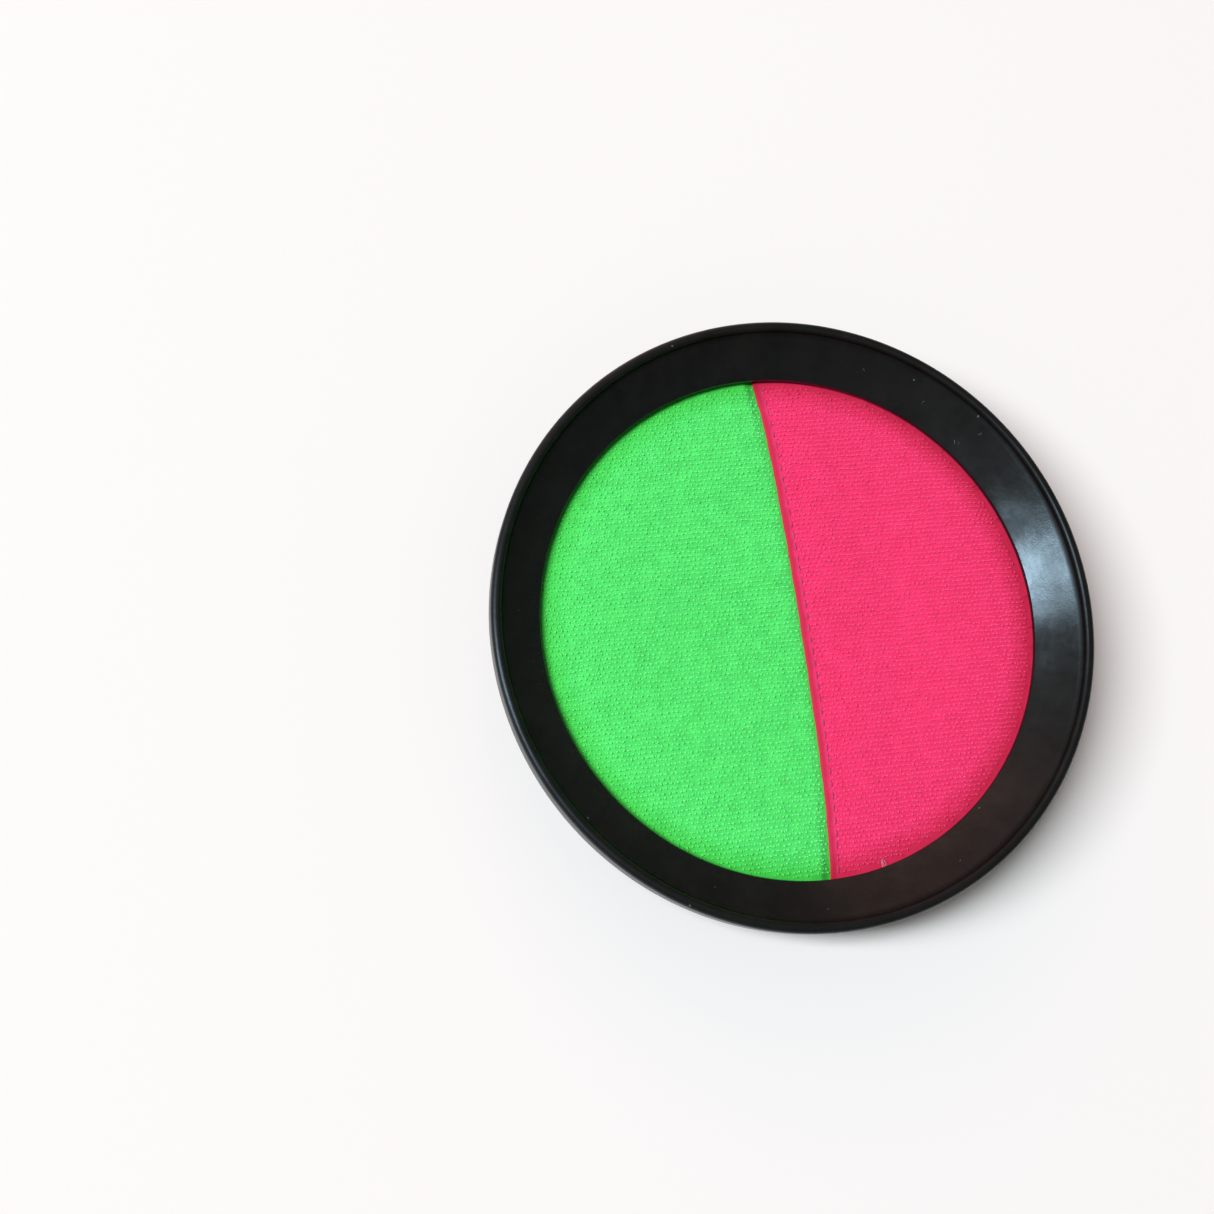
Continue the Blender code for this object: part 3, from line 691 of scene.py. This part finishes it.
def pinkSheet():
    # The section is (past the fold, height), past = fixed + stretched * width, so that its long runs end at the round
    # edge: along the top, back below it, round the turned-in flap, and round the fold.
    count = faceSet.pinkColumns
    run, level = np.linspace(0, 1, count), np.full(count, foldRadius)
    turn = -np.pi / 2 - np.pi * np.arange(1, 12) / 12
    flapTop, flapLow = faceSet.cloth - 2 * foldRadius, -2 * foldRadius
    back = np.linspace(faceSet.hemFlap, foldRadius, 8)
    crease = foldRadius - faceSet.foldGap / 2
    fixed = np.concatenate([level, level, [crease], back[::-1], back, foldRadius * (1 + np.cos(turn))])
    stretched = np.concatenate([run, run[::-1], np.zeros(len(fixed) - 2 * count)])
    steps = np.repeat((0, -faceSet.cloth, -foldRadius, flapTop, flapLow), (count, count, 1, len(back), len(back)))
    height = np.concatenate([steps, foldRadius * (np.sin(turn) - 1)])
    width = clothEdge - seamLine(clothY) - foldRadius
    past = fixed + stretched * width
    wobble = 0.05 * np.sin(clothY / 3.1) + 0.04 * np.sin(clothY / 1.3 + 1)
    x = seamLine(clothY) + past + wobble * (np.abs(past) < 3)
    return (place(x, clothY, faceLevel + height + faceLift(x, clothY)), tubeFaces(*x.shape)), past


sheets = {colour: addMesh(colour + "Cloth", [part], hookCloth(colour), colour + "_face", 60,
                          values={"pastFold": past})
          for colour, (part, past) in (("green", greenSheet()), ("pink", pinkSheet()))}
print("cloth halves ready")


# Hooks: one small bent thread at each point of the cloth's lattice, hooked along X

hookSet = SimpleNamespace(
    rowPitch=1.36, dotPitch=1.63, shifts=(0.0, 0.5, 0.25, 0.75), length=0.44, rise=0.36, thread=0.25, stub=0.225,
    stubRise=0.30, stubShare=0.78, reach=75.7, greenFrom=-0.45, pinkFrom=2.75, missing=0.012, headingDegrees=45,
    sides=4, seed=23)


def hookField(heightAt, isOn):
    # A hook leans out of the cloth and bends over. Between two hooks of a row stands the cut stub of one.
    rng = np.random.default_rng(hookSet.seed)
    row = np.arange(-60, 61)[:, None]
    step = np.arange(-52, 53)
    shift = np.array(hookSet.shifts)[row % 4]
    x = (step + shift) * hookSet.dotPitch + rng.normal(0, 0.12, (len(row), len(step)))
    y = row * hookSet.rowPitch + 0.09 * np.sin(x / 6.0 + row / 5) + rng.normal(0, 0.10, x.shape)
    way = np.where(row % 2 == 0, 1.0, -1.0) * np.ones_like(x)
    inside = lambda x, y: (isOn(x, y) & (np.hypot(x, y) < hookSet.reach - 0.3 * rng.random(x.shape))
                           & (rng.random(x.shape) > hookSet.missing))
    on = inside(x, y)
    stubX, stubY = x + hookSet.dotPitch / 2, y + rng.normal(0, 0.10, x.shape)
    stubOn = inside(stubX, stubY) & (rng.random(x.shape) < hookSet.stubShare)
    stubX, stubY = stubX[stubOn][:, None], stubY[stubOn][:, None]
    x, y, way = (field[on][:, None] for field in (x, y, way))
    each, eachStub = x.shape, stubX.shape
    size = rng.uniform(0.78, 1.18, each)
    heading = rng.normal(0, math.radians(hookSet.headingDegrees), each)
    share = np.array([0.0, 0.30, 0.58, 0.82, 1.0])
    along = np.array([-0.36, -0.42, -0.06, 0.34, 0.50]) * hookSet.length * size * way
    up = np.array([-0.25, 0.62, 1.02, 0.86, 0.44]) * hookSet.rise * size
    lean = rng.normal(0, 0.08, each) * share
    paths = place(x + along * np.cos(heading), y + along * np.sin(heading) + lean, heightAt(x, y) + up)
    across = place(-np.sin(heading), np.cos(heading), 0.0)
    thick = hookSet.thread * np.array([1.1, 1.1, 1.0, 0.92, 0.75])
    tint = np.repeat(rng.random(each), len(share) * hookSet.sides)
    tiltX, tiltY = rng.normal(0, 0.09, (2, *eachStub)) * np.array([0.0, 0.8, 1.0])
    stubUp = np.array([-0.3, 0.8, 1.0]) * hookSet.stubRise * rng.uniform(0.7, 1.15, eachStub)
    stubPaths = place(stubX + tiltX, stubY + tiltY, heightAt(stubX, stubY) + stubUp)
    stubThick = hookSet.stub * np.array([1.1, 1.0, 0.6]) * rng.uniform(0.8, 1.15, eachStub)
    stubTint = np.repeat(rng.random(eachStub), 3 * hookSet.sides)
    return ((tubes(paths, thick, hookSet.sides, across), tint),
            (tubes(stubPaths, stubThick, hookSet.sides, (1.0, 0.0, 0.0)), stubTint))


onGreen = lambda x, y: x - seamLine(y) < hookSet.greenFrom
onPink = lambda x, y: x - seamLine(y) > hookSet.pinkFrom
threadFinish = {colour: hookThread(colour) for colour in ("green", "pink")}
threadPieces = {"green": [], "pink": []}
for colour, heightAt, isOn in (("green", greenTop, onGreen), ("pink", pinkTop, onPink)):
    for kind, (part, tint) in zip(("Hooks", "Stubs"), hookField(heightAt, isOn)):
        piece = addMesh(colour + kind, [part], threadFinish[colour], values={"tint": tint})
        threadPieces[colour].append(piece)
print("hooks ready")


# Thread, for the seam and the strap

def sewingThread(name, dark, light, roughness):
    finish, surface, point = newFinish(name, roughness, 0.4)
    feed(surface["Base Color"], blendColour(spread(mottled(point, 700.0, 2600.0), 0.35, 0.65), dark, light))
    wave = {"Vector": point, "Scale": 620.0, "Distortion": 2.0}
    twist = grow("ShaderNodeTexWave", wave, bands_direction="DIAGONAL")["Fac"]
    raiseFrom(surface, twist, 0.00005)
    feed(surface["Roughness"], spread(twist, 0.0, 1.0, roughness - 0.1, roughness + 0.1))
    return finish


def stitches(starts, ends, out, radius, arch, sink):
    # Each stitch arches from its first hole to its second:
    # start + (end - start) * t, with z raised by out * (arch * sin(pi t)^0.6 - sink * (1 - sin(pi t))^3)
    t = np.linspace(0, 1, 9)
    bow = np.sin(np.pi * t)
    height = arch * bow ** 0.6 - sink * (1 - bow) ** 3
    paths = starts[:, None] + (ends - starts)[:, None] * t[:, None] + place(0, 0, out * height)
    thick = radius * (0.75 + 0.25 * bow ** 0.5) * (1 + 0.07 * np.sin(t * 19))
    return tubes(paths, thick, 6, (0.0, 0.0, out))


seamSet = SimpleNamespace(pastFold=2.3, pitch=3.6, share=0.72, form=(0.24, 0.16, 0.35), reach=75.6, seed=5)


def seamStitches():
    rng = np.random.default_rng(seamSet.seed)
    start = np.arange(-seamSet.reach, seamSet.reach, seamSet.pitch)
    length = seamSet.pitch * seamSet.share * rng.uniform(0.88, 1.12, len(start))
    offset = seamSet.pastFold + rng.normal(0, 0.05, len(start))
    on = lambda y: place(seamLine(y) + offset, y, pinkTop(seamLine(y) + offset, y))
    return stitches(on(start), on(start + length), 1.0, *seamSet.form)


seamThread = sewingThread("seamThread", (0.38, 0.03, 0.11), (0.62, 0.08, 0.22), 0.6)
threadPieces["pink"].append(addMesh("seamStitches", [seamStitches()], seamThread))
print("seam ready")


# Loose ends: frayed threads along the ring, one longer pale thread, and lint on the dish

looseSet = SimpleNamespace(
    seed=31, frayed=(-155.0, -120.0, 34), greenFew=(100, 255, 16), pinkFew=(-78, 80, 20), thread=0.075,
    paleRadius=0.08, paleFrom=(16.45, -75.9),
    pale=((16.2, -72.4, -0.9, 0.4), (16.4, -73.0, 1.0, 0.9), (16.1, -73.6, 0.3, 0.6)),
    lint=((67.0, 52.6), (37.7, -76.0)), lintFew=5, lintRadius=0.042)


def frayPaths(degrees, heightAt, rng):
    # Each thread comes from under the ring, bends aside and lies over the cloth.
    t = np.linspace(0, 1, 6)
    each = degrees.shape
    turn = np.radians(degrees) + (rng.normal(0, 0.016, each) * t + rng.normal(0, 0.012, each) * t ** 2)
    radius = openingRadius + 0.6 - rng.uniform(1.2, 2.7, each) * t
    x, y = radius * np.cos(turn), radius * np.sin(turn)
    return place(x, y, heightAt(x, y) + 0.15 + rng.uniform(0.15, 0.6, each) * np.sin(np.pi * t))


def dishFibres(places, rng):
    # Short curled fibres that lie on the dish
    t = np.linspace(0, 1, 7)
    startX, startY = places[:, :1], places[:, 1:]
    heading = rng.uniform(0, 2 * np.pi, startX.shape) + rng.uniform(-2.6, 2.6, startX.shape) * t
    length = rng.uniform(0.6, 1.3, startX.shape) / 6
    x, y = startX + np.cumsum(length * np.cos(heading), 1), startY + np.cumsum(length * np.sin(heading), 1)
    cone = openingTop + (np.hypot(x, y) - openingRadius) * coneSlope
    return place(x, y, cone + 0.06 + 0.10 * np.sin(np.pi * t))


def paleThread():
    # Three strands from one start, each (end x, end y, sideways bend, rise)
    t = np.linspace(0, 1, 7)
    fromX, fromY = looseSet.paleFrom
    toX, toY, bend, rise = np.array(looseSet.pale).T[:, :, None]
    x = fromX + (toX - fromX) * t + bend * np.sin(np.pi * t) * 0.5
    y = fromY + (toY - fromY) * t
    return place(x, y, pinkTop(x, y) + 0.2 + rise * np.sin(np.pi * t * 0.85))


looseChance = np.random.default_rng(looseSet.seed)
greenDegrees = [looseChance.uniform(*few) for few in (looseSet.frayed, looseSet.greenFew)]
pinkDegrees = [looseChance.uniform(*looseSet.pinkFew)]
upward = (0.0, 0.0, 1.0)
for colour, degrees, heightAt in (("green", greenDegrees, greenTop), ("pink", pinkDegrees, pinkTop)):
    degrees = np.concatenate(degrees)[:, None]
    thick = looseSet.thread * looseChance.uniform(0.7, 1.2, degrees.shape)
    fray = tubes(frayPaths(degrees, heightAt, looseChance), thick, 5, upward)
    threadPieces[colour].append(addMesh(colour + "Fray", [fray], threadFinish[colour]))
paleFinish = sewingThread("paleThread", (0.56, 0.20, 0.28), (0.84, 0.48, 0.55), 0.6)
pale = tubes(paleThread(), looseSet.paleRadius, 6, upward)
threadPieces["pink"].append(addMesh("paleThread", [pale], paleFinish))

lintTurn = looseChance.uniform(0, 2 * np.pi, looseSet.lintFew)
lintAway = looseChance.uniform(openingRadius + 2, lipRadius - 5, looseSet.lintFew)
places = np.concatenate([looseSet.lint, np.stack([lintAway * np.cos(lintTurn), lintAway * np.sin(lintTurn)], -1)])
lintFinish = sewingThread("lint", (0.11, 0.12, 0.13), (0.28, 0.30, 0.32), 0.7)
lint = tubes(dishFibres(places, looseChance), looseSet.lintRadius, 5, upward)
addMesh("lint", [lint], lintFinish)
print("loose ends ready")


# Foam and backing. The backing bellies down a little between the strap's sewn tabs and the ring.

foamBase = boxOf("foam_pad")[0][2]
backingLow, backingHigh = boxOf("backing_cloth")
backSet = SimpleNamespace(belly=0.9, wrinkle=0.10, tabTo=52.0, tabHalf=20.0, ease=9.0, columns=141)


def backSag(x, y):
    # Downward belly of the backing, held flat at the two sewn tabs and at the ring
    share = np.minimum(np.hypot(x, y) / openingRadius, 1)
    held = (smooth((np.abs(x) - backSet.tabTo) / backSet.ease + 1)
            * smooth((backSet.tabHalf - np.abs(y)) / backSet.ease + 1))
    folds = backSet.wrinkle * np.sin(y / 3.7 + 0.8 * np.sin(x / 11)) * (1 - np.abs(x) / 90)
    return -(backSet.belly + folds) * (1 - share ** 4) * (1 - held)


def foamPart():
    nearSeam = np.concatenate([np.linspace(-3.2, 0.0, 13), np.linspace(1.0, channelEnd, 6),
                               np.linspace(channelEnd + 0.25, shoulder, 4)])
    x = discColumns(nearSeam, faceSet.foamColumns)
    last = x[:, -1:]
    right = np.linspace(0, 1, faceSet.foamColumns + 1)[1:]
    x = np.concatenate([x, last + (clothEdge - last) * right], 1)
    past = x - seamLine(clothY)
    drop = lapDrop * (dip(past) - smooth((past - channelEnd) / faceSet.wallRun))
    top = np.maximum(pinkTop(x, clothY) - drop - faceSet.cloth - faceSet.fit, foamBase + 0.4)
    return slab(place(x, clothY, top), place(x, clothY, foamBase + backSag(x, clothY)))


foamFinish, surface, point = newFinish("foamCore", 0.95, 0.1)
cells = grow("ShaderNodeTexVoronoi", {"Vector": point, "Scale": 1900.0})["Distance"]
feed(surface["Base Color"], blendColour(cells, (0.80, 0.79, 0.74), (0.62, 0.61, 0.57)))
raiseFrom(surface, cells, 0.00025)
addMesh("foamPad", [foamPart()], foamFinish, "foam_pad", 50)


def backingPart():
    x = np.linspace(-1, 1, backSet.columns) * clothEdge
    sag = backSag(x, clothY)
    return slab(place(x, clothY, backingHigh[2] + sag), place(x, clothY, backingLow[2] + sag))


backingFinish, surface, point = newFinish("backingNylon", 0.6, 0.4)
woven = useGroup(clothRows, Point=point, RowPitch=0.00062, ThreadPitch=0.00062)["Threads"]
patchy = spread(mottled(point, 45.0, 300.0), 0.3, 0.7, 0.0, 0.5)
share = maths("MULTIPLY_ADD", woven, 0.5, patchy)
feed(surface["Base Color"], blendColour(share, (0.010, 0.010, 0.011), (0.030, 0.030, 0.032)))
feed(surface["Roughness"], spread(woven, 0.0, 1.0, 0.72, 0.48))
raiseFrom(surface, woven, 0.00012)
backing = addMesh("backingSheet", [backingPart()], backingFinish, "backing_cloth", 60)
print("foam and backing ready")


# Hand strap: two webbing halves sewn to the backing, closed by tape under the hand

strapSet = SimpleNamespace(
    width=38.0, webbing=1.0, endPlay=1.8, tab=19.0, slopeRun=24.0, shortReach=27.0, longReach=31.0, tipRadius=8.0,
    patchWidth=34.0, patch=0.7, step=0.8, halfSection=33)

tabOuter = math.sqrt((clampOpening - strapSet.endPlay) ** 2 - (strapSet.width / 2) ** 2)
tabInner = tabOuter - strapSet.tab
tabLevel = backingLow[2] - faceSet.fit - strapSet.webbing


def carriedStrip(path, halfWidth, thickness, phase):
    # A flat section with round, slightly wavy edges carried along the path (x, z): y = width * share, and half the
    # thickness * (1 - share^12)^0.5 along the normal
    along = np.gradient(path, axis=0)
    along /= np.hypot(*along.T)[:, None]
    normal = np.stack([-along[:, 1], along[:, 0]], -1)
    length = np.concatenate([[0], np.cumsum(np.hypot(*np.diff(path, axis=0).T))])[:, None]
    share = np.sin(np.linspace(-np.pi / 2, np.pi / 2, strapSet.halfSection))
    share = np.sign(share) * np.abs(share) ** 0.85
    share = np.concatenate([share, share[-2:0:-1]])
    side = np.where(np.arange(len(share)) < strapSet.halfSection, 1.0, -1.0)
    depth = thickness / 2 * side * np.sqrt(1 - np.abs(share) ** 12)
    edge = 1 + 0.004 * np.sin(length / 4.1 + phase + share) * np.abs(share)
    y = halfWidth * share * edge
    x, z = (path[:, k, None] + normal[:, k, None] * depth for k in (0, 1))
    return (place(x, y, z), tubeFaces(*y.shape)), place(length, y, 0)[..., :2]


def strapPath(side, bottom, reach, squareEnd):
    # Level at the sewn tab, eased down over the slope, then level to the free end
    x = np.arange(tabOuter, -reach, -strapSet.step)
    if not squareEnd:
        tip = strapSet.tipRadius * (1 - np.sin(np.linspace(0, np.pi / 2, 12))) - reach
        x = np.concatenate([x[x > tip[0]], tip])
    else:
        x = np.append(x[x > 0.3 - reach], -reach)
    z = tabLevel + (bottom - tabLevel) * smooth((tabInner - x) / strapSet.slopeRun) + strapSet.webbing / 2
    inside = np.maximum(strapSet.tipRadius - (x + reach), 0) * (not squareEnd)
    rounded = np.sqrt(strapSet.tipRadius ** 2 - inside ** 2)
    return np.stack([side * x, z], -1), (strapSet.width / 2 - strapSet.tipRadius + rounded)[:, None]


def webbingFinish(name, dark, light, ribPitch, threadPitch, depth):
    finish, surface, point = newFinish(name, 0.62, 0.35)
    uvMap = point.id_data.nodes.new("ShaderNodeUVMap")
    uvMap.uv_map = "UVMap"
    ribs = useGroup(webbingRibs, Point=uvMap.outputs[0], RibPitch=ribPitch, ThreadPitch=threadPitch)
    share = maths("MULTIPLY", ribs["Shade"], spread(mottled(point, 120.0, 1200.0), 0.3, 0.7, 0.6, 1.2), clamp=True)
    feed(surface["Base Color"], blendColour(share, dark, light))
    feed(surface["Roughness"], spread(ribs["Height"], 0.0, 1.0, 0.78, 0.52))
    raiseFrom(surface, ribs["Height"], depth)
    return finish


strapWebbing = webbingFinish("strapWebbing", (0.004, 0.004, 0.0045), (0.030, 0.030, 0.031), 1.5, 1.1, 0.00030)
loopTape = webbingFinish("loopTape", (0.010, 0.010, 0.0105), (0.050, 0.050, 0.052), 0.55, 0.5, 0.00035)
hookTape = webbingFinish("hookTape", (0.006, 0.006, 0.0065), (0.034, 0.034, 0.035), 1.2, 1.0, 0.00045)
strapThread = sewingThread("strapThread", (0.012, 0.012, 0.013), (0.050, 0.050, 0.052), 0.45)

for name, node, side, reach, square in (("strapShort", "strap_short", -1, strapSet.shortReach, True),
                                        ("strapLong", "strap_long", 1, strapSet.longReach, False)):
    path, half = strapPath(side, boxOf(node)[0][2], reach, square)
    part, uv = carriedStrip(path, half, strapSet.webbing, side)
    addMesh(name, [part], strapWebbing, node, 60, uv=uv)

for name, node, finish in (("loopPatch", "strap_loop_patch", loopTape), ("hookPatch", "strap_hook_patch", hookTape)):
    low, high = boxOf(node)
    x = np.concatenate([[low[0]], np.arange(low[0] + 0.4, high[0] - 0.2, 0.8), [high[0]]])
    path = np.stack([x, np.full(len(x), (low[2] + high[2]) / 2)], -1)
    part, uv = carriedStrip(path, strapSet.patchWidth / 2, strapSet.patch, 1.7)
    addMesh(name, [part], finish, node, 60, uv=uv)
print("strap ready")


# Strap stitching: a box with a cross on each tab, and a line round each closure patch

stitchSet = SimpleNamespace(pitch=2.6, share=0.78, form=(0.22, 0.12, 0.30))


def boxCorners(left, right, half):
    # Round a box, then along its diagonal
    return np.array([(left, -half), (right, -half), (right, half), (left, half), (left, -half), (right, half)])


def stitchLine(corners, level, out):
    # Stitches at an even pitch along straight lines between corner points (x, y)
    parts = []
    for a, b in zip(corners[:-1], corners[1:]):
        count = max(2, round(np.hypot(*(b - a)) / stitchSet.pitch))
        starts = a + (b - a) * (np.arange(count)[:, None] / count)
        ends = starts + (b - a) * stitchSet.share / count
        starts, ends = (place(*points.T, level) for points in (starts, ends))
        parts.append(stitches(starts, ends, out, *stitchSet.form))
    return parts


tabStitching, patchStitching = [], []
for side in (-1, 1):
    box = boxCorners(side * (tabInner + 2.0), side * (tabOuter - 2.2), strapSet.width / 2 - 2.5)
    tabStitching += stitchLine(box, tabLevel, -1.0) + stitchLine(box[[3, 1]], tabLevel - 0.15, -1.0)
for node, strapNode, out in (("strap_loop_patch", "strap_short", 1.0), ("strap_hook_patch", "strap_long", -1.0)):
    low, high = boxOf(node)
    box = boxCorners(low[0] + 1.6, high[0] - 1.6, strapSet.patchWidth / 2 - 1.6)
    level = boxOf(strapNode)[0][2] + (strapSet.webbing if out > 0 else 0)
    patchStitching += stitchLine(box[:5], level, out)
addMesh("tabStitches", tabStitching, strapThread)
addMesh("patchStitches", patchStitching, strapThread)
print("strap stitching ready")


{"cad": cadBox, "visual": [list(corner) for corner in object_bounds()]}
